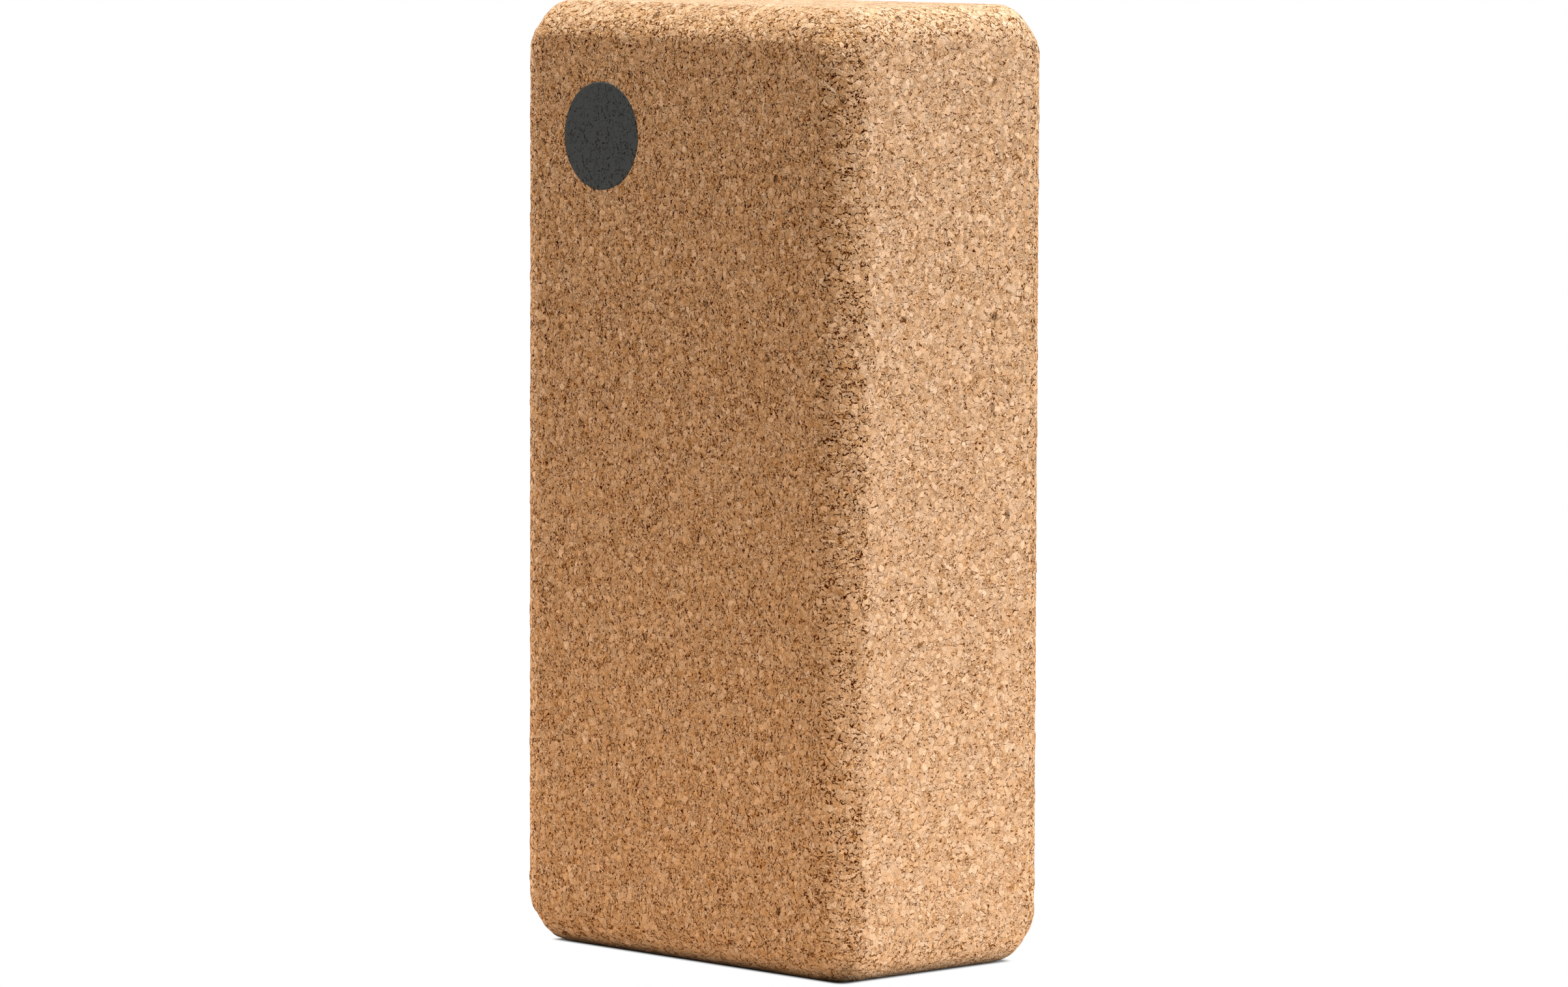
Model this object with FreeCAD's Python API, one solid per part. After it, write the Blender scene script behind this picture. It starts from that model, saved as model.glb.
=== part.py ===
import FreeCAD
import Part
import math
import os
import random

# Slim yoga block of pressed cork, standing on one end. Millimetres, +Z up.
# The origin is the centre of the base end, and the wide face with the mark looks along -Y.

# Block
block_height = 228.6
block_width = 114.3
block_thickness = 69.85
edge_radius = 9.0

# Printed mark, a plain disc of ink that has soaked into the front face
mark_diameter = 26.0
mark_side_margin = 18.0
mark_top_margin = 19.0
ink_depth = 0.2

# Coarse granules, ground angular, bedded in the cork and sanded flush with its surface
granule_nodes = ("pale_granules", "russet_granules", "bark_granules")
granule_length = 4.0
granule_width = 2.8
granule_depth = 1.6
granule_spacing = 27.0
granule_corners = 7
granule_size_shares = (0.7, 1.0)
corner_reach_shares = (0.75, 1.0)
corner_swing_share = 0.3
place_swing_share = 0.8
scatter_seed = 11

# Shared by every cut
cut_overrun = 1.0

direction = {"x": FreeCAD.Vector(1, 0, 0), "y": FreeCAD.Vector(0, 1, 0), "z": FreeCAD.Vector(0, 0, 1)}
half_size = {"x": block_width / 2, "y": block_thickness / 2, "z": block_height / 2}
block_centre = direction["z"] * half_size["z"]


def rounded_block():
    """The pressed block with all twelve edges rounded alike, before anything is bedded in it."""
    corner = FreeCAD.Vector(-half_size["x"], -half_size["y"], 0)
    block = Part.makeBox(block_width, block_thickness, block_height, corner)
    return block.makeFillet(edge_radius, block.Edges)


def mark_centre():
    """The middle of the mark on the front face, measured in from the left side and down from the top."""
    mark_radius = mark_diameter / 2
    across = mark_side_margin + mark_radius - half_size["x"]
    up = block_height - mark_top_margin - mark_radius
    return FreeCAD.Vector(across, -half_size["y"], up)


def ink_cutter():
    """A cylinder through the front face, as deep as the ink has soaked in."""
    inward = direction["y"]
    start = mark_centre() - inward * cut_overrun
    return Part.makeCylinder(mark_diameter / 2, cut_overrun + ink_depth, start, inward)


def flat_length(axis):
    """The flat stretch between two rounded edges, along one axis."""
    return 2 * (half_size[axis] - edge_radius)


def cell_middles(axis):
    """Middles of the equal cells, each about one spacing long, that fill a flat stretch."""
    cells = max(1, round(flat_length(axis) / granule_spacing))
    return [((i + 0.5) / cells - 0.5) * flat_length(axis) for i in range(cells)]


def cell_swing(axis, swing):
    """A random step off a cell's middle that keeps the granule within the cell."""
    cell = flat_length(axis) / len(cell_middles(axis))
    room = (cell - granule_length) / 2 * place_swing_share
    return swing.uniform(-room, room)


def face_seats(swing):
    """Seats on the six flat faces: a point, the outward normal there and a direction along the face."""
    for normal_axis, row_axis, column_axis in (("y", "z", "x"), ("x", "z", "y"), ("z", "x", "y")):
        for side in (-1, 1):
            normal = direction[normal_axis] * side
            for row in cell_middles(row_axis):
                for column in cell_middles(column_axis):
                    point = block_centre + normal * half_size[normal_axis]
                    point += direction[row_axis] * (row + cell_swing(row_axis, swing))
                    point += direction[column_axis] * (column + cell_swing(column_axis, swing))
                    yield point, normal, direction[column_axis]


def edge_seats(swing):
    """Seats halfway round the twelve rounded edges, given as on the faces."""
    for run_axis, first_axis, second_axis in (("z", "x", "y"), ("x", "y", "z"), ("y", "z", "x")):
        for first_side in (-1, 1):
            for second_side in (-1, 1):
                first = direction[first_axis] * first_side
                second = direction[second_axis] * second_side
                normal = (first + second).normalize()
                crest = block_centre + normal * edge_radius
                crest += first * (half_size[first_axis] - edge_radius)
                crest += second * (half_size[second_axis] - edge_radius)
                for place in cell_middles(run_axis):
                    along = direction[run_axis]
                    yield crest + along * (place + cell_swing(run_axis, swing)), normal, along


def clear_of_mark(point):
    """True where a granule leaves the mark whole, with its own length to spare."""
    return (point - mark_centre()).Length > mark_diameter / 2 + granule_length


def granule_cutter(point, normal, along, swing):
    """An angular prism square to the surface, from the granule's depth to just outside the block."""
    across = normal.cross(along)
    turn = swing.uniform(0, math.pi)
    size_share = swing.uniform(*granule_size_shares)
    corners = []
    for i in range(granule_corners):
        angle = 2 * math.pi * (i + swing.uniform(-corner_swing_share, corner_swing_share)) / granule_corners
        reach_share = size_share * swing.uniform(*corner_reach_shares)
        long_way = reach_share * granule_length / 2 * math.cos(angle)
        short_way = reach_share * granule_width / 2 * math.sin(angle)
        corner = point - normal * granule_depth
        corner += along * (long_way * math.cos(turn) - short_way * math.sin(turn))
        corner += across * (long_way * math.sin(turn) + short_way * math.cos(turn))
        corners.append(corner)
    outline = Part.makePolygon(corners + corners[:1])
    return Part.Face(outline).extrude(normal * (granule_depth + cut_overrun))


def granule_cutters():
    """The prisms of each kind of granule, dealt out in turn over the whole block."""
    swing = random.Random(scatter_seed)
    seats = [seat for seat in [*face_seats(swing), *edge_seats(swing)] if clear_of_mark(seat[0])]
    swing.shuffle(seats)
    cutters = {node: [] for node in granule_nodes}
    for i, seat in enumerate(seats):
        cutters[granule_nodes[i % len(granule_nodes)]].append(granule_cutter(*seat, swing))
    return cutters


def main():
    block = rounded_block()
    ink = ink_cutter()
    cutters = granule_cutters()
    every_cutter = [ink] + [cutter for kind in cutters.values() for cutter in kind]

    nodes = {"cork_body": block.cut(every_cutter).Solids, "printed_mark": block.common(ink).Solids}
    for node, kind in cutters.items():
        nodes[node] = [solid for cutter in kind for solid in block.common(cutter).Solids]

    os.makedirs("parts", exist_ok=True)
    for node, solids in nodes.items():
        shape = solids[0] if len(solids) == 1 else Part.makeCompound(solids)
        shape.exportStep(os.path.join("parts", node + ".step"))
        print(f"{node}: {len(solids)} solids, {shape.Volume:.1f} mm3, valid {shape.isValid()}")


main()
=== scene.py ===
import math
from types import SimpleNamespace

import bpy
import numpy as np
from mathutils import Matrix, Vector


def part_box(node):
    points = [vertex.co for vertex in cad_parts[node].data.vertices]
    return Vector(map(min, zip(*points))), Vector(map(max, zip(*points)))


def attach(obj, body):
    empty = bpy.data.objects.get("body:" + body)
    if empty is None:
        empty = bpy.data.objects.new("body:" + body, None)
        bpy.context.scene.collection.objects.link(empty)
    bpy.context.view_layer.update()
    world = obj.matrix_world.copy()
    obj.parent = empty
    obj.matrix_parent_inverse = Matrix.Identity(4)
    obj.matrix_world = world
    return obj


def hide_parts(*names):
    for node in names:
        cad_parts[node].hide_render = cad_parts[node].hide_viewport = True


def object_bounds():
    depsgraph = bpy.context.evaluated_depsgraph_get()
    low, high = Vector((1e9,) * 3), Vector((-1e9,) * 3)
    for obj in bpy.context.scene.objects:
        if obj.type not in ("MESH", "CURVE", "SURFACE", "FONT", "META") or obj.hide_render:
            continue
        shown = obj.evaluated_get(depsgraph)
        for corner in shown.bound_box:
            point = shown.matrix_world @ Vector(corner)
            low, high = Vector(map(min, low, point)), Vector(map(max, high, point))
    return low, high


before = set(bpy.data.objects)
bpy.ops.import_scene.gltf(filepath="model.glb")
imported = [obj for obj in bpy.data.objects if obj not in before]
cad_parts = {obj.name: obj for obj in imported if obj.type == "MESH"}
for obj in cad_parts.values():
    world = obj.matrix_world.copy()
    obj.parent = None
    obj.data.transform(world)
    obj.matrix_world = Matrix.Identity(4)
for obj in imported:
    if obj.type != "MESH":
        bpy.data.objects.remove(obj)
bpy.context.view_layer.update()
print("frame:", ", ".join(sorted(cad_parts)))

scene = bpy.context.scene
scene.view_settings.view_transform = "Standard"

mmPerMetre = 1000.0
weldsPerMetre = 1e6           # points that round to the same micrometre are one point

# the block, in metres; its box comes from the frame

block = {
    "edgeRadius": 0.009,      # rounding of all twelve edges
    "cornerCut": 0.0017,      # how much further the eight corners are worn back
    "cornerReach": 0.012,     # how far from each face that wear starts
    "cornerFull": 0.7,        # share of that way after which it is full
}
blockLow, blockHigh = (np.array(corner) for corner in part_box("cork_body"))
blockMiddle = (blockLow + blockHigh) / 2
blockHalf = (blockHigh - blockLow) / 2
coreHalf = blockHalf - block["edgeRadius"]      # the inner box that the edge radius rolls around


def smoothStep(low, high, values):
    # 0 below low, 1 above high, and 3t^2 - 2t^3 between them
    t = np.clip((values - low) / (high - low), 0, 1)
    return t * t * (3 - 2 * t)


def ontoBlock(points):
    # rounded block: clip each point to the inner box, then step one edge radius outwards from there;
    # near a corner, where all three faces are close, step back by the product of three smooth rises
    fromMiddle = points - blockMiddle
    onCore = np.clip(fromMiddle, -coreHalf, coreHalf)
    outward = fromMiddle - onCore
    normals = outward / np.linalg.norm(outward, axis=-1, keepdims=True)
    surface = onCore + block["edgeRadius"] * normals
    nearness = 1 - (blockHalf - np.abs(surface)) / block["cornerReach"]
    wear = block["cornerCut"] * smoothStep(0.0, block["cornerFull"], nearness).prod(-1)
    return blockMiddle + surface - normals * wear[..., None], normals


def gridQuads(numbers):
    # corner numbers of the faces of a grid of point numbers
    corners = [numbers[:-1, :-1], numbers[1:, :-1], numbers[1:, 1:], numbers[:-1, 1:]]
    return np.stack(corners, -1).reshape(-1, 4)


def welded(points):
    # one point for all that round to the same place, and for each old point the number of its new one
    places = np.round(points * weldsPerMetre).astype(np.int64)
    _, first, number = np.unique(places, axis=0, return_index=True, return_inverse=True)
    return points[first], number.ravel()


def meshPiece(name, points, quads, normals, fade, material, slotName, node):
    # one object at the origin from arrays of points and four-cornered faces; its points carry
    # the angle from the normal to the nearest axis, the normal's parts along y and z, and the fade
    mesh = bpy.data.meshes.new(name)
    mesh.vertices.add(len(points))
    mesh.vertices.foreach_set("co", points.astype(np.float32).ravel())
    mesh.loops.add(quads.size)
    mesh.loops.foreach_set("vertex_index", quads.astype(np.int32).ravel())
    mesh.polygons.add(len(quads))
    mesh.polygons.foreach_set("loop_start", np.arange(0, quads.size, 4, dtype=np.int32))
    mesh.polygons.foreach_set("use_smooth", np.ones(len(quads), bool))
    mesh.update(calc_edges=True)
    mesh.validate()
    mesh.materials.append(material)
    turn = np.arccos(np.minimum(np.abs(normals).max(-1), 1))
    wide, end = np.abs(normals[:, 1]), np.abs(normals[:, 2])
    for label, values in (("turn", turn), ("wide", wide), ("end", end), ("fade", fade)):
        mesh.attributes.new(label, "FLOAT", "POINT").data.foreach_set("value", values.astype(np.float32))
    piece = bpy.data.objects.new(name, mesh)
    scene.collection.objects.link(piece)
    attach(piece, "root")
    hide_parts(node)
    print(f"{name}: {len(points)} points, {len(quads)} faces")


# shader maths

class Wire:
    # one output socket in a material's tree; arithmetic on it adds Math nodes
    def __init__(self, tree, socket):
        self.tree = tree
        self.socket = socket

    def node(self, kind, settings, sockets, output=0):
        # any node: its settings first, then the values or links of its sockets
        made = self.tree.nodes.new(kind)
        for name, value in settings.items():
            setattr(made, name, value)
        for name, value in sockets.items():
            if isinstance(value, Wire):
                self.tree.links.new(value.socket, made.inputs[name])
            else:
                made.inputs[name].default_value = value
        return Wire(self.tree, made.outputs[output])

    def sibling(self, output):
        # another output of the same node
        return Wire(self.tree, self.socket.node.outputs[output])

    def math(self, operation, *values):
        return self.node("ShaderNodeMath", {"operation": operation}, dict(enumerate(values)))

    def __add__(self, other):
        return self.math("ADD", self, other)

    def __sub__(self, other):
        return self.math("SUBTRACT", self, other)

    def __rsub__(self, other):
        return self.math("SUBTRACT", other, self)

    def __mul__(self, other):
        return self.math("MULTIPLY", self, other)

    def __truediv__(self, other):
        return self.math("DIVIDE", self, other)

    __radd__ = __add__

    def most(self, other):
        return self.math("MAXIMUM", self, other)

    def centred(self):
        # a number from 0 to 1 as one from -1/2 to 1/2
        return self - 0.5

    def step(self, low, high):
        # 0 at low and 1 at high, with a smooth rise; low may be the larger one
        sockets = {"Value": self, "From Min": low, "From Max": high, "To Min": 0.0, "To Max": 1.0}
        return self.node("ShaderNodeMapRange", {"interpolation_type": "SMOOTHSTEP"}, sockets)

    def between(self, low, high):
        # low where self is 0 and high where it is 1; both numbers or wires
        return low + self * (high - low)

    def mixColour(self, first, second):
        # self is the share of the second colour; a Mix node's colours are sockets 6 and 7 and output 2
        return self.node("ShaderNodeMix", {"data_type": "RGBA"}, {0: self, 6: first, 7: second}, 2)

    def tinted(self, other):
        # colour times colour
        settings = {"data_type": "RGBA", "blend_type": "MULTIPLY"}
        return self.node("ShaderNodeMix", settings, {0: 1.0, 6: self, 7: other}, 2)

    def grey(self):
        return self.node("ShaderNodeCombineColor", {}, {0: self, 1: self, 2: self})

    def split(self):
        return [self.node("ShaderNodeSeparateXYZ", {}, {0: self}, i) for i in range(3)]

    def vector(self, operation, *values, output=0):
        return self.node("ShaderNodeVectorMath", {"operation": operation}, dict(enumerate(values)), output)

    def scaled(self, size):
        return self.node("ShaderNodeVectorMath", {"operation": "SCALE"}, {0: self, "Scale": size})

    def noise(self, scale, detail=2.0, output=0, rough=0.5):
        sockets = {"Vector": self, "Scale": scale, "Detail": detail, "Roughness": rough}
        return self.node("ShaderNodeTexNoise", {"noise_dimensions": "3D"}, sockets, output)

    def cells(self, size, feature):
        settings = {"voronoi_dimensions": "3D", "feature": feature}
        return self.node("ShaderNodeTexVoronoi", settings, {"Vector": self, "Scale": 1 / size})

    def attribute(self, name):
        return self.node("ShaderNodeAttribute", {"attribute_name": name}, {}, "Fac")


def newMaterial(name):
    # an empty material, its shader and its object coordinates in millimetres
    material = bpy.data.materials.new(name)
    material.use_nodes = True
    shader = material.node_tree.nodes["Principled BSDF"]
    coordinates = material.node_tree.nodes.new("ShaderNodeTexCoord").outputs["Object"]
    return material, shader, Wire(material.node_tree, coordinates).scaled(mmPerMetre)


def plug(node, **links):
    # links wires to a node's sockets, with underscores for the spaces in their names
    for name, wire in links.items():
        wire.tree.links.new(wire.socket, node.inputs[name.replace("_", " ")])


# pressed cork: sizes in millimetres, scales in waves per millimetre, tones as display brightness from 0 to 1

cork = {
    "largeSize": 1.30,        # large granules
    "smallSize": 0.66,        # small granules
    "swayScale": 0.7,         # how their borders wander, and how far
    "sway": 1.6,
    "rippleScale": 2.4,       # how they ripple, and how far
    "ripple": 0.20,
    "wholeShare": 0.22,       # share of the large granules with no small ones in them
    "coarseWhole": 0.14,      # further share away from the wide faces
    "wholeRise": 0.01,        # width of the step between such granules and the others

    "roundStart": (0.03, 0.15),   # turn of the surface, in radians, over which a rounded edge starts
    "raggedScale": 0.65,      # how raggedly it starts, and by how many radians
    "ragged": 0.42,

    "largeShare": 0.19,       # share of the borders between large granules that are open
    "roundShare": 0.10,       # further share of them on the rounded edges
    "smallShare": 0.33,       # share of the borders between small ones
    "sideCalm": 0.05,         # less of it on the narrow sides and ends
    "roundCalm": 0.08,        # and on the rounded edges
    "openRise": 0.15,         # how far past its share a border opens fully
    "borderMix": 31.7,        # spreads the sum of two granules' numbers into a number for their border
    "shadeLean": 0.5,              # how strongly cracks stand upright on the wide faces and lie level elsewhere: painted shade, for crevices lying across the light
    "roundShadeLean": 0.4,         # and on the rounded edges
    "evenWay": 0.33,          # mean square of one part of a direction
    "largeCrack": 0.235,      # widest crack between large granules
    "roundCrack": 0.31,       # and on the rounded edges
    "smallCrack": 0.19,       # widest crack between small ones
    "shutCrack": 0.001,       # width of a shut one
    "crackCore": 0.4,         # share of its width that is fully dark
    "taperScale": 2.3,        # how soon a crack ends
    "taper": (0.36, 0.62),    # the noise at its end and where it is widest
    "pitRadius": 0.33,        # small dark holes
    "roundPit": 0.46,         # and on the rounded edges
    "pitCore": 0.45,          # share of the radius that is fully dark
    "pitShare": 0.16,         # share of the small granules that have one

    "brightness": 0.765,      # of the cork between all marks
    "floorFillContrast": (0.97, 1.20),     # strength of all marks at the base and at the top; less at the base as painted fill light from the floor
    "endCalm": 0.45,          # how much weaker they are on the rounded edges of the ends
    "crackDarkAndShade": (0.25, 0.55),    # how much darker a crack or pit is, where it is thin and where it is wide: its own dark gap and painted shade of the crevice
    "sidePale": 0.22,         # how much paler cracks are on the narrow sides and ends
    "seamWidth": 0.12,        # faint line around every granule
    "seamDark": 0.06,
    "smallSeam": 0.6,         # its strength around small ones
    "mottleScale": 1.0,       # soft patches
    "mottleDetail": 4.0,
    "mottle": 0.34,
    "sideMottle": 0.21,       # less of it on the narrow sides and ends
    "wholeCalm": 0.5,         # how much less mottled granules without small ones are
    "grainScale": 6.0,        # fine grain
    "grain": 0.88,
    "harshness": 0.6,         # roughness of the noise of patches and grain
    "largeTone": 0.07,        # spread between large granules
    "coarseTone": 0.03,       # further spread away from the wide faces
    "wholeTone": 0.04,        # further spread between those without small ones
    "smallTone": 0.125,       # spread between small ones
    "paleShare": 0.07,        # share of pale granules, and twice that on the narrow sides and ends
    "pale": 0.045,
    "darkShare": 0.05,        # share of dark ones
    "dark": 0.22,
    "fullTone": 0.5,          # part of these shares that is fully pale or dark
    "roundPaintedLight": 0.055,       # painted light: the rounded edges are lighter, as their rough granules catch more light
    "roundPaintedShade": 0.44,         # and painted shade where they turn from a wide face to a narrow one, for shadows among their rough granules

    "hueScale": 0.45,         # hue: less blue and green where it is high; its slow patches
    "hueDetail": 3.0,
    "hueNoise": 0.16,
    "hueTone": 0.06,          # spread between large granules
    "smallHue": 0.03,         # spread between small ones
    "roundHue": 0.02,         # higher on the rounded edges
    "wideShadeHue": 0.08,          # on the wide faces, a painted warm tint of shade
    "crackHue": 0.03,         # and in cracks
    "greenHue": 0.5,          # green's part of a shift of hue
    "colourSteps": (0.157, -0.028, -0.196),     # red, green and blue above the brightness
    "darkest": 0.004,         # least display value
    "gamma": 2.2,             # from display values to linear light
    "reach": 0.84,            # linear light of a full display value

    "bevel": 0.30,            # rounded rim of a large granule
    "smallBevel": 0.18,       # and of a small one
    "largeCrown": (0.4, 1.0),     # lowest and highest large granule, as shares of the heights below
    "smallCrown": (0.1, 0.6),     # and small one
    "flatHeight": 0.05,       # how far a granule stands above its rim on the sanded faces
    "roundHeight": 0.15,      # and on the rounded edges
    "tilt": 0.10,             # slope of a granule's top
    "grainHeight": 0.10,      # relief of the fine grain
    "crackDepth": 0.08,       # on the sanded faces, and twice that on the rounded edges
    "bumpBlur": 0.5,          # width of the relief's filter, in pixels
    "roughness": 0.9,
    "gloss": 0.06,
}


def surfaceZones(place):
    # rounding is 1 on the rounded edges and 0 on the flats, by the turn plus a noise, for a ragged start;
    # upright is 1 on the flats of the wide faces, and side on the other flats
    turn, wide, end = (place.attribute(label) for label in ("turn", "wide", "end"))
    ragged = turn + place.noise(cork["raggedScale"]).centred() * cork["ragged"]
    rounding = ragged.step(*cork["roundStart"]) * turn.step(0.0, cork["roundStart"][0])
    flat = 1 - rounding
    return SimpleNamespace(wide=wide, end=end, rounding=rounding, upright=wide * flat, side=(1 - wide) * flat)


def granuleLayer(swayed, size, zone):
    # cells of one size: three numbers of each cell, the distance to its border and a number for that border,
    # higher where it lies across the light, so that its crack opens as painted shade, the slope of the cell's
    # top and the way from its middle
    nearest = swayed.cells(size, "F1")
    second = swayed.cells(size, "F2")
    border = swayed.cells(size, "DISTANCE_TO_EDGE") * size
    number = nearest.sibling("Color").split()
    other = second.sibling("Color").split()
    across = swayed.vector("SUBTRACT", second.sibling("Position"), nearest.sibling("Position"))
    x, _, z = swayed.vector("NORMALIZE", across).split()
    # painted shade: borders across the light open more often, upright on the wide faces and level elsewhere
    way = zone.upright.between(z * z, x * x)
    shadeLean = zone.rounding.between(cork["shadeLean"], cork["roundShadeLean"])
    mixed = (number[0] + other[0]) * cork["borderMix"]
    pair = mixed.math("FRACT", mixed) + (way - cork["evenWay"]) * shadeLean
    offset = swayed.vector("SUBTRACT", swayed, nearest.sibling("Position"))
    toward = swayed.vector("SUBTRACT", nearest.sibling("Color"), (0.5, 0.5, 0.5))     # the cell's own way
    slope = swayed.vector("DOT_PRODUCT", offset, toward, output="Value")
    return SimpleNamespace(number=number, border=border, pair=pair, slope=slope, reach=nearest * size)


def granuleLayers(place, zone):
    # large and small cells at places that two noises shift; large ones whose number is past a limit
    # are whole, with no small ones in them
    sway = place.noise(cork["swayScale"], output="Color").scaled(cork["sway"])
    ripple = place.noise(cork["rippleScale"], output="Color").scaled(cork["ripple"])
    swayed = place.vector("ADD", place.vector("ADD", place, sway), ripple)
    large = granuleLayer(swayed, cork["largeSize"], zone)
    small = granuleLayer(swayed, cork["smallSize"], zone)
    wholeStart = 1 - cork["wholeShare"] - (1 - zone.upright) * cork["coarseWhole"]
    large.whole = (large.number[1] - wholeStart).step(0.0, cork["wholeRise"])
    large.broken = 1 - large.whole
    return large, small


def openBorders(layer, taper, share, width):
    # border distance under a width that the border's own number opens and a noise tapers
    opening = layer.pair.step(1 - share, 1 + cork["openRise"] - share) * taper * width + cork["shutCrack"]
    return (layer.border / opening).step(1.0, cork["crackCore"])


def corkCracks(zone, large, small, taper):
    # the darkest of the cracks between large granules, and of those between small ones and the pits in them
    largeShare = zone.rounding * cork["roundShare"] + cork["largeShare"]
    largeWidth = zone.rounding.between(cork["largeCrack"], cork["roundCrack"])
    smallShare = cork["smallShare"] - zone.side * cork["sideCalm"] - zone.rounding * cork["roundCalm"]
    pitRadius = zone.rounding.between(cork["pitRadius"], cork["roundPit"])
    hollow = small.number[2].step(1 - cork["pitShare"], 1.0)
    pit = (small.reach / pitRadius).step(1.0, cork["pitCore"]) * hollow
    fine = openBorders(small, taper, smallShare, cork["smallCrack"]).most(pit) * large.broken
    return openBorders(large, taper, largeShare, largeWidth).most(fine)


def corkMarks(place, zone, large, small, grain):
    # sum of patches, grain, each granule's own tone, pale and dark granules, and the seams around them
    patches = place.noise(cork["mottleScale"], cork["mottleDetail"], rough=cork["harshness"]).centred()
    patches = patches * (cork["mottle"] - zone.side * cork["sideMottle"])
    patches = patches * (1 - large.whole * cork["wholeCalm"])
    largeTone = cork["largeTone"] + (1 - zone.upright) * cork["coarseTone"] + large.whole * cork["wholeTone"]
    tones = large.number[0].centred() * largeTone
    tones = tones + small.number[0].centred() * large.broken * cork["smallTone"]
    paleNumber = large.number[1] + zone.side * cork["paleShare"]
    pale = paleNumber.step(1 - cork["paleShare"], 1 - cork["fullTone"] * cork["paleShare"])
    dark = small.number[1].step(cork["darkShare"], cork["fullTone"] * cork["darkShare"]) * large.broken
    smallSeam = (small.border / cork["seamWidth"]).step(1.0, 0.0) * large.broken
    seam = (large.border / cork["seamWidth"]).step(1.0, 0.0).most(smallSeam * cork["smallSeam"])
    marks = patches + grain * cork["grain"] + tones
    return marks + pale * cork["pale"] - dark * cork["dark"] - seam * cork["seamDark"]


def corkHue(place, zone, large, small, crack):
    # sum of slow patches, each granule's own hue, and shifts on rounded edges, on wide faces as a painted
    # warm tint of shade, and in cracks
    hue = place.noise(cork["hueScale"], cork["hueDetail"]).centred() * cork["hueNoise"]
    hue = hue + large.number[2].centred() * cork["hueTone"]
    hue = hue + small.number[2].centred() * large.broken * cork["smallHue"]
    # redder on the wide faces: painted warm shade
    hue = hue + zone.rounding * cork["roundHue"] + zone.wide * zone.wide * cork["wideShadeHue"]
    return hue + crack * cork["crackHue"]


def corkRelief(zone, large, small, crack, grain):
    # sum of bevelled granules, their tilted tops and the grain, less the cracks
    crown = large.border.step(0.0, cork["bevel"]) * large.number[2].between(*cork["largeCrown"])
    smallCrown = small.border.step(0.0, cork["smallBevel"]) * small.number[2].between(*cork["smallCrown"])
    crown = crown + smallCrown * large.broken
    crown = crown * zone.rounding.between(cork["flatHeight"], cork["roundHeight"])
    tilt = (large.slope + small.slope * large.broken) * cork["tilt"]
    return crown + tilt + grain * cork["grainHeight"] - crack * cork["crackDepth"] * (1 + zone.rounding)


def corkPattern(place):
    # brightness, hue, height and cracks; the brightness is a plain value, plus the sum of all marks times
    # a strength that rises with the height, which paints fill light from the floor near the base, plus
    # painted light on the rounded edges less painted shade of w(1 - w)^2, with w the wide part
    zone = surfaceZones(place)
    large, small = granuleLayers(place, zone)
    taper = place.noise(cork["taperScale"]).step(*cork["taper"])
    crack = corkCracks(zone, large, small, taper)
    grain = place.noise(cork["grainScale"], rough=cork["harshness"]).centred()
    # cracks and pits darker: dark gaps between granules, and painted shade in the crevices
    crackDarkAndShade = taper.between(*cork["crackDarkAndShade"]) * (1 - zone.side * cork["sidePale"])
    marks = corkMarks(place, zone, large, small, grain) - crack * crackDarkAndShade
    # all marks weaker towards the base: painted fill light from the floor
    upward = place.split()[2].step(mmPerMetre * blockLow[2], mmPerMetre * blockHigh[2])
    strength = upward.between(*cork["floorFillContrast"]) * (1 - zone.rounding * zone.end * cork["endCalm"])
    # painted shade where a rounded edge turns from a wide face to a narrow one; the lift beside it is painted
    # light
    dip = zone.wide * (1 - zone.wide) * (1 - zone.wide) * cork["roundPaintedShade"]
    brightness = marks * strength + cork["brightness"] + zone.rounding * (cork["roundPaintedLight"] - dip)
    hue = corkHue(place, zone, large, small, crack)
    return brightness, hue, corkRelief(zone, large, small, crack, grain), crack


def corkColour(brightness, hue):
    # red, green and blue display values a fixed step from the brightness, less hue, raised to linear light
    red, green, blue = ((brightness + step).most(cork["darkest"]) for step in cork["colourSteps"])
    levels = [red, green - hue * cork["greenHue"], blue - hue]
    raised = [level.math("POWER", level.most(cork["darkest"]), cork["gamma"]) for level in levels]
    linear = [level * cork["reach"] for level in raised]
    return brightness.node("ShaderNodeCombineColor", {}, dict(enumerate(linear)))


def bumped(height):
    # height in millimetres as a normal
    sockets = {"Strength": 1.0, "Distance": 1 / mmPerMetre,
               "Filter Width": cork["bumpBlur"], "Height": height}
    return height.node("ShaderNodeBump", {}, sockets)


def corkMaterial(name, shift=None, cover=None, relief=1.0):
    # the cork pattern; shift adds to brightness and hue by the piece's fade, and cover gives a colour instead
    material, shader, place = newMaterial(name)
    brightness, hue, height, crack = corkPattern(place)
    if shift:
        fade = place.attribute("fade")
        brightness, hue = brightness + fade * shift[0], hue + fade * shift[1]
    colour = cover(place, crack) if cover else corkColour(brightness, hue)
    shader.inputs["Roughness"].default_value = cork["roughness"]
    shader.inputs["Specular IOR Level"].default_value = cork["gloss"]
    plug(shader, Base_Color=colour, Normal=bumped(height * relief))
    return material


# the body, in metres

body = {
    "flatStep": 0.0011,       # grid step on the flat faces
    "roundSteps": 10,         # grid steps over half of a rounded edge
    "granuleSize": 0.0027,    # size of the relief's granules
    "flatRelief": 0.00003,    # deepest dip of the sanded faces
    "roundRelief": 0.00022,   # deepest dip of the rounded edges
    "roundFull": 0.02,        # 1 less the normal's largest part where an edge has its full relief
    "grooveWidth": 0.35,      # of the grooves between granules, as a share of their size
    "grooveShare": 0.6,       # share of the relief that is grooves; the rest is high and low granules
    "seed": 5,
}

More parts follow.
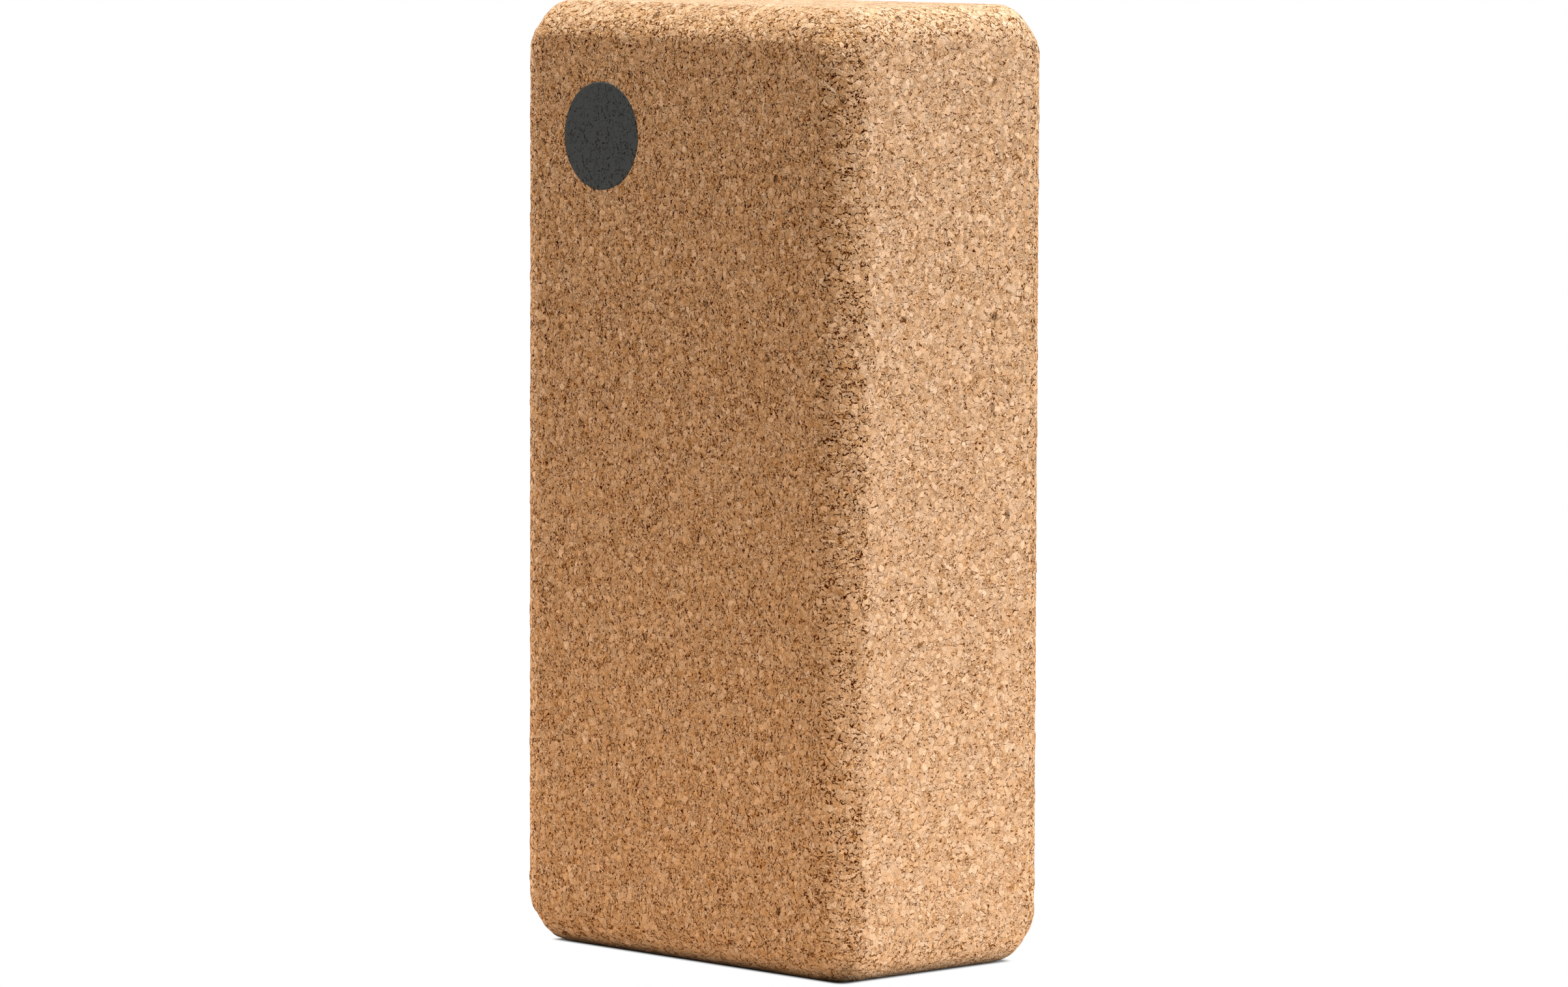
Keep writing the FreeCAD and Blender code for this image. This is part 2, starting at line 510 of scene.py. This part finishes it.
hashing = {                   # whole numbers that scramble a cell's place
    "axes": (73856093, 19349663, 83492791),
    "seed": 2654435761,
    "part": 40503,
    "rounds": ((16, 0x45D9F3B), (15, 0x119DE1F3), (16, 1)),
    "mask": 0xFFFFFFFF,
}


def stations(halfLength):
    # grid places along one axis: even steps over the flat, tangents of even angles over each half round
    radius = block["edgeRadius"]
    flat = halfLength - radius
    level = np.linspace(-flat, flat, round(2 * flat / body["flatStep"]) + 1)
    bend = flat + radius * np.tan(np.linspace(0, math.pi / 4, body["roundSteps"] + 1)[1:])
    return np.concatenate([-bend[::-1], level, bend])


def blockGrid():
    # six faces of a box as grids with shared stations, welded along the box's edges
    places = [stations(half) for half in blockHalf]
    points, quads, count = [], [], 0
    for normalAxis in range(3):
        uAxis, vAxis = (normalAxis + 1) % 3, (normalAxis + 2) % 3
        for side in (-1, 1):
            u, v = np.meshgrid(places[uAxis], places[vAxis], indexing="ij")
            face = np.empty(u.shape + (3,))
            face[..., uAxis] = u
            face[..., vAxis] = v
            face[..., normalAxis] = side * blockHalf[normalAxis]
            corners = gridQuads(np.arange(u.size).reshape(u.shape) + count)
            points.append(face.reshape(-1, 3))
            quads.append(corners if side > 0 else corners[:, ::-1])
            count += u.size
    points, number = welded(np.concatenate(points))
    return points + blockMiddle, number[np.concatenate(quads)]


def cellHash(cells, seed):
    # three numbers from 0 to 1 for each whole-numbered cell, the same on every run:
    # a weighted sum of its places, scrambled by rounds of shifts, exclusive ors and products
    mask = hashing["mask"]
    mixed = (cells * np.array(hashing["axes"])).sum(-1)
    numbers = []
    for part in range(3):
        h = (mixed + seed * hashing["seed"] + part * hashing["part"]) & mask
        for shift, factor in hashing["rounds"]:
            h = ((h ^ (h >> shift)) * factor) & mask
        numbers.append(h / mask)
    return np.stack(numbers, -1)


def granules(points, size, seed):
    # cellular noise, with one point scattered in each cube: distances to the nearest two of them,
    # and a number of the nearest
    scaled = points / size
    home = np.floor(scaled).astype(np.int64)
    nearest = np.full(len(points), np.inf)
    second = np.full(len(points), np.inf)
    number = np.zeros(len(points))
    for offset in np.ndindex(3, 3, 3):
        cell = home + np.array(offset) - 1
        scatter = cellHash(cell, seed)
        distance = np.linalg.norm(cell + scatter - scaled, axis=-1)
        closer = distance < nearest
        second = np.where(closer, nearest, np.minimum(second, distance))
        number = np.where(closer, scatter[:, 0], number)
        nearest = np.where(closer, distance, nearest)
    return nearest, second, number


def makeBody(material):
    # rounded block whose granules stand a little higher or lower, with grooves between, all inside the block
    gridPoints, quads = blockGrid()
    surface, normals = ontoBlock(gridPoints)
    rounding = smoothStep(0.0, body["roundFull"], 1 - np.abs(normals).max(-1))
    nearest, second, number = granules(surface, body["granuleSize"], body["seed"])
    groove = 1 - smoothStep(0.0, body["grooveWidth"], second - nearest)
    depth = body["flatRelief"] + (body["roundRelief"] - body["flatRelief"]) * rounding
    dip = depth * (body["grooveShare"] * groove + (1 - body["grooveShare"]) * number)
    points = surface - normals * dip[:, None]
    meshPiece("corkBody", points, quads, normals, np.zeros(len(points)), material, "cork", "cork_body")


makeBody(corkMaterial("pressedCork"))


# pillows: round pieces bedded in the surface

def pillowGrid(steps):
    # a square grid pressed into a unit disc, u sqrt(1 - v^2/2) and v sqrt(1 - u^2/2), twice, welded
    # along the rim; gives disc places, top or bottom, and faces
    u, v = np.meshgrid(np.linspace(-1, 1, steps), np.linspace(-1, 1, steps), indexing="ij")
    disc = np.stack([u * np.sqrt(1 - v * v / 2), v * np.sqrt(1 - u * u / 2)], -1)
    upper = np.arange(u.size).reshape(u.shape)
    lower = upper.copy()
    lower[1:-1, 1:-1] = u.size + np.arange((steps - 2) ** 2).reshape(steps - 2, steps - 2)
    places = np.concatenate([disc.reshape(-1, 2), disc[1:-1, 1:-1].reshape(-1, 2)])
    isTop = np.arange(len(places)) < u.size
    return places, isTop, np.concatenate([gridQuads(upper), gridQuads(lower)[:, ::-1]])


def pillows(centres, normals, along, halfLength, halfWidth, look, seed):
    # each piece: the unit disc stretched and turned, its rim waved by a sum of sines, laid onto the block,
    # domed on top and bulging below by 1 less a power of the reach
    rng = np.random.default_rng(seed)
    places, isTop, quads = pillowGrid(look["steps"])
    reach = np.linalg.norm(places, axis=-1)
    angle = np.arctan2(places[:, 1], places[:, 0])
    waves = np.arange(look["waves"]) + 2      # ripples around the rim, from two up
    phase = rng.uniform(0, 2 * math.pi, (len(centres), len(waves), 1))
    swing = look["wave"] * (np.sin(waves[:, None] * angle + phase) / np.sqrt(waves)[:, None]).sum(1)
    stretch = 1 + swing * reach ** 2
    across = np.cross(normals, along)
    long = (places[:, 0] * stretch * halfLength[:, None])[..., None] * along[:, None]
    short = (places[:, 1] * stretch * halfWidth[:, None])[..., None] * across[:, None]
    surface, outward = ontoBlock(centres[:, None] + long + short)
    inner = 1 - reach ** look["shoulder"]
    top = look["lift"] * inner - look["sink"] * (1 - inner)
    bottom = -look["sink"] - look["depth"] * inner
    points = surface + outward * np.where(isTop, top, bottom)[:, None]
    numbers = quads + (np.arange(len(centres)) * len(places))[:, None, None]
    fade = np.broadcast_to(1 - smoothStep(look["fadeStart"], 1.0, reach), (len(centres), len(places)))
    return points.reshape(-1, 3), numbers.reshape(-1, 4), outward.reshape(-1, 3), fade.ravel()


# the printed disc, in metres

ink = {
    "colour": (0.080, 0.084, 0.079, 1.0),
    "worn": (0.105, 0.105, 0.095, 1.0),
    # ink in cracks and pits: dark gap, and painted shade of the crevice
    "pit": (0.020, 0.016, 0.012, 1.0),
    "wearScale": 3.0,         # worn patches: waves per millimetre
    "wearDetail": 3.0,
    "wear": (0.45, 0.85),     # the noise where wear starts and where it is full
    "relief": 0.35,           # share of the cork's relief that the ink leaves
    "steps": 90,              # grid points across
    "waves": 70,              # ripples of the rim
    "wave": 0.003,            # their height, as a share of the radius
    "lift": 0.00004,          # middle above the cork
    "sink": 0.00002,          # rim below it
    "depth": 0.00018,         # underside below the rim
    "shoulder": 400,          # power of the reach by which the top falls to the rim
    "fadeStart": 0.99,        # reach from which the fade falls to the rim
    "seed": 3,
}


def inked(place, crack):
    # plain ink over the cork, a little worn, dark in the cracks as their own gap and painted shade
    wear = place.noise(ink["wearScale"], ink["wearDetail"]).step(*ink["wear"])
    covered = wear.mixColour(ink["colour"], ink["worn"])
    return crack.mixColour(covered, ink["pit"])


def makeInk(material):
    # one pillow in the place of the solid, a hair above the wide face
    low, high = (np.array(corner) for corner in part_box("printed_mark"))
    centre = np.array([[(low[0] + high[0]) / 2, low[1], (low[2] + high[2]) / 2]])
    radius = np.array([(high[0] - low[0]) / 2])
    normal, along = np.array([[0.0, -1.0, 0.0]]), np.array([[1.0, 0.0, 0.0]])
    piece = pillows(centre, normal, along, radius, radius, ink, ink["seed"])
    meshPiece("inkDisc", *piece, material, "ink", "printed_mark")


makeInk(corkMaterial("printingInk", cover=inked, relief=ink["relief"]))


# coarse granules, in metres

chips = {
    "steps": 11,              # grid points across
    "waves": 5,               # ripples of the rim
    "wave": 0.10,             # their height, as a share of the size
    "lift": 0.00003,          # middle above the cork
    "sink": 0.00008,          # rim below it
    "depth": 0.0012,          # underside below the rim
    "shoulder": 4,            # power of the reach by which the top falls to the rim
    "fadeStart": 0.55,        # reach from which the colour fades to the cork's
    "kinds": {                # shift is how brightness and hue differ from the cork's
        "pale_granules": {
            "name": "paleGranules", "slot": "pale_cork", "shift": (0.09, -0.02), "seed": 12},
        "russet_granules": {
            "name": "russetGranules", "slot": "russet_cork", "shift": (-0.08, 0.03), "seed": 14},
        "bark_granules": {
            "name": "barkGranules", "slot": "bark", "shift": (-0.24, -0.06), "seed": 12},
    },
}


def looseParts(mesh):
    # points of a mesh, welded, and the number of the loose part that each one is in: the least point number
    # spreads along the edges until nothing changes
    points = np.empty(len(mesh.vertices) * 3, np.float32)
    mesh.vertices.foreach_get("co", points)
    edges = np.empty(len(mesh.edges) * 2, np.int32)
    mesh.edges.foreach_get("vertices", edges)
    points, number = welded(points.reshape(-1, 3).astype(float))
    ends = number[edges].reshape(-1, 2)
    part = np.arange(len(points))
    before = None
    while before is None or (before != part).any():
        before = part.copy()
        least = part[ends].min(1)
        np.minimum.at(part, ends[:, 0], least)
        np.minimum.at(part, ends[:, 1], least)
    return points, np.unique(part, return_inverse=True)[1].ravel()


def makeChips(node, kind):
    # one pillow in place of each loose part: its middle, and the long and short ways of its spread over
    # the surface, whose half lengths are the roots of twice the mean squares
    points, part = looseParts(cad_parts[node].data)
    count = np.bincount(part)[:, None]
    middle = np.stack([np.bincount(part, points[:, i]) for i in range(3)], -1) / count
    centres, normals = ontoBlock(middle)
    spread = points - middle[part]
    spread -= (spread * normals[part]).sum(-1, keepdims=True) * normals[part]
    moments = np.zeros((len(count), 3, 3))
    np.add.at(moments, part, spread[:, :, None] * spread[:, None])
    squares, ways = np.linalg.eigh(moments / count[..., None])
    halfLength, halfWidth = np.sqrt(2 * squares[:, 2]), np.sqrt(2 * squares[:, 1])
    piece = pillows(centres, normals, ways[..., 2], halfLength, halfWidth, chips, kind["seed"])
    meshPiece(kind["name"], *piece, corkMaterial(kind["name"], kind["shift"]), kind["slot"], node)


for chipNode, chipKind in chips["kinds"].items():
    makeChips(chipNode, chipKind)


# camera, matched to the picture; metres and degrees, lens and sensor in millimetres

view = {
    "azimuth": 46.3581,       # from straight before the printed face, towards the lit narrow side
    "distance": 1.87372,      # level, from the block's middle
    "eyeHeight": 0.27200,
    "pitch": 4.9229,          # downwards
    "roll": 0.1937,
    "yaw": 0.0211,
    "lens": 179.56,
    "sensor": 36.0,
    "farClip": 100.0,
}


def turned(first, second, angle):
    # two unit axes turned in their own plane: first c + second s, and second c - first s
    c, s = math.cos(angle), math.sin(angle)
    return first * c + second * s, second * c - first * s


def makeCamera():
    # looks level along the azimuth, then turns by yaw, pitch and roll
    a, yaw, pitch, roll = (math.radians(view[name]) for name in ("azimuth", "yaw", "pitch", "roll"))
    level = np.array([-math.sin(a), math.cos(a), 0.0])
    right = np.array([math.cos(a), math.sin(a), 0.0])
    eye = Vector((-level * view["distance"]).tolist()) + Vector((0.0, 0.0, view["eyeHeight"]))
    level, right = turned(level, right, yaw)
    forward, up = turned(level, np.array([0.0, 0.0, 1.0]), -pitch)
    right, up = turned(right, up, roll)
    data = bpy.data.cameras.new("camera")
    data.sensor_fit = "HORIZONTAL"
    data.sensor_width = view["sensor"]
    data.lens = view["lens"]
    data.clip_end = view["farClip"]
    camera = bpy.data.objects.new("camera", data)
    axes = Matrix(np.stack([right, up, -forward], 1).tolist()).to_4x4()
    camera.matrix_world = Matrix.Translation(eye) @ axes
    scene.collection.objects.link(camera)
    scene.camera = camera
    print(f"camera: {view['lens']} mm lens at {view['distance']} m")


makeCamera()


# light and floor: metres and watts, and millimetres beyond the base's flat

studio = {
    "lamps": {
        "key": {"place": (1.40, 0.60, 0.25), "power": 21.0, "colour": (0.95, 0.98, 1.0)},
        "top": {"place": (0.0, -0.22, 1.45), "power": 31.5, "colour": (0.80, 0.89, 1.0)},
        "left": {"place": (-1.40, -0.10, 0.30), "power": 14.0, "colour": (1.0, 1.0, 1.0)},
        "back": {"place": (0.0, 1.40, 0.30), "power": 17.0, "colour": (0.78, 0.92, 1.0)},
    },
    "lampAim": (0.0, 0.0, 0.11),
    "lampSize": 0.8,
    "ambient": 0.165,         # strength of the light from all around
    "ambientColour": (1.0, 0.83, 0.68, 1.0),
    "white": (1.0, 1.0, 1.0, 1.0),        # the background
    # grey of the floor close to the base: painted shadow that deepens the contact line
    "contactShadeGrey": (0.60, 0.60, 0.60, 1.0),
    "floorRoughness": 0.9,
    "floorGloss": 0.1,
    "floorHalf": 20.0,
    "floorGap": 0.00001,      # under the lowest granule
    "whiteRise": (1.0, 4.0),      # millimetres over which the floor turns plain white
    "glowColour": (1.0, 0.87, 0.77, 1.0),       # light that the floor throws back onto the block
    "glowRise": (5.0, 12.0),      # millimetres over which it starts
    "glowNear": 1.25,         # its strength near the block and far from it
    "glowFar": 0.15,
    "glowFall": (110.0, 400.0),   # millimetres over which it falls from one to the other
    "glowEdge": -0.30,        # how much weaker it is close to the block
    "glowEdgeFall": (20.0, 60.0),     # millimetres over which that ends
}


def makeLamp(name, look):
    # square lamp that faces its aim
    data = bpy.data.lights.new(name, "AREA")
    data.size = studio["lampSize"]
    data.energy = look["power"]
    data.color = look["colour"]
    lamp = bpy.data.objects.new(name, data)
    lamp.location = look["place"]
    lamp.rotation_euler = (Vector(studio["lampAim"]) - lamp.location).to_track_quat("-Z", "Y").to_euler()
    scene.collection.objects.link(lamp)


def shownRays(tree):
    # 1 for rays from the camera, reflections and glass, and 0 for rays that light the block
    paths = tree.nodes.new("ShaderNodeLightPath").outputs
    rays = [Wire(tree, paths[name]) for name in ("Is Camera Ray", "Is Glossy Ray", "Is Transmission Ray")]
    return rays[0].most(rays[1]).most(rays[2])


def makeWorld():
    # white where it shows, a soft warm grey where it lights
    world = bpy.data.worlds.new("studio")
    world.use_nodes = True
    scene.world = world
    tree = world.node_tree
    shown = shownRays(tree)
    background = tree.nodes["Background"]
    colour = shown.mixColour(studio["ambientColour"], studio["white"])
    plug(background, Color=colour, Strength=shown.between(studio["ambient"], 1.0))


def floorGlow(away):
    # strength of the glow by the way from the base: a fall, less a part close by, times a rise
    glow = away.step(*studio["glowFall"]).between(studio["glowNear"], studio["glowFar"])
    glow = glow + (1 - away.step(*studio["glowEdgeFall"])) * studio["glowEdge"]
    return glow * away.step(*studio["glowRise"])


def floorMaterial():
    # shows a shadow close to the block, deepened by a painted grey there, and plain white further out, and
    # lights the block with its own glow
    material, shader, place = newMaterial("floorWhite")
    shader.inputs["Base Color"].default_value = studio["contactShadeGrey"]
    shader.inputs["Roughness"].default_value = studio["floorRoughness"]
    shader.inputs["Specular IOR Level"].default_value = studio["floorGloss"]
    tree = material.node_tree
    sides = zip(place.split(), coreHalf[:2] * mmPerMetre)
    x, y = ((w.math("ABSOLUTE", w) - half).most(0.0) for w, half in sides)
    squared = x * x + y * y
    away = squared.math("SQRT", squared)
    tint = floorGlow(away).grey().tinted(studio["glowColour"])
    glow = place.node("ShaderNodeEmission", {}, {"Color": tint, "Strength": 1.0})
    white = place.node("ShaderNodeEmission", {}, {"Color": studio["white"], "Strength": 1.0})
    lit = Wire(tree, shader.outputs["BSDF"])
    seen = place.node("ShaderNodeMixShader", {}, {0: away.step(*studio["whiteRise"]), 1: lit, 2: white})
    surface = place.node("ShaderNodeMixShader", {}, {0: shownRays(tree), 1: glow, 2: seen})
    plug(tree.nodes["Material Output"], Surface=surface)
    return material


def makeFloor():
    # one square just under the block
    half, level = studio["floorHalf"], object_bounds()[0][2] - studio["floorGap"]
    corners = [(-half, -half, level), (half, -half, level), (half, half, level), (-half, half, level)]
    mesh = bpy.data.meshes.new("floor")
    mesh.from_pydata(corners, [], [(0, 1, 2, 3)])
    mesh.materials.append(floorMaterial())
    floor = bpy.data.objects.new("floor", mesh)
    scene.collection.objects.link(floor)
    print(f"floor: at {level:.6f} m")


for lampName, lampLook in studio["lamps"].items():
    makeLamp(lampName, lampLook)
print("lamps:", ", ".join(studio["lamps"]))
makeWorld()
makeFloor()
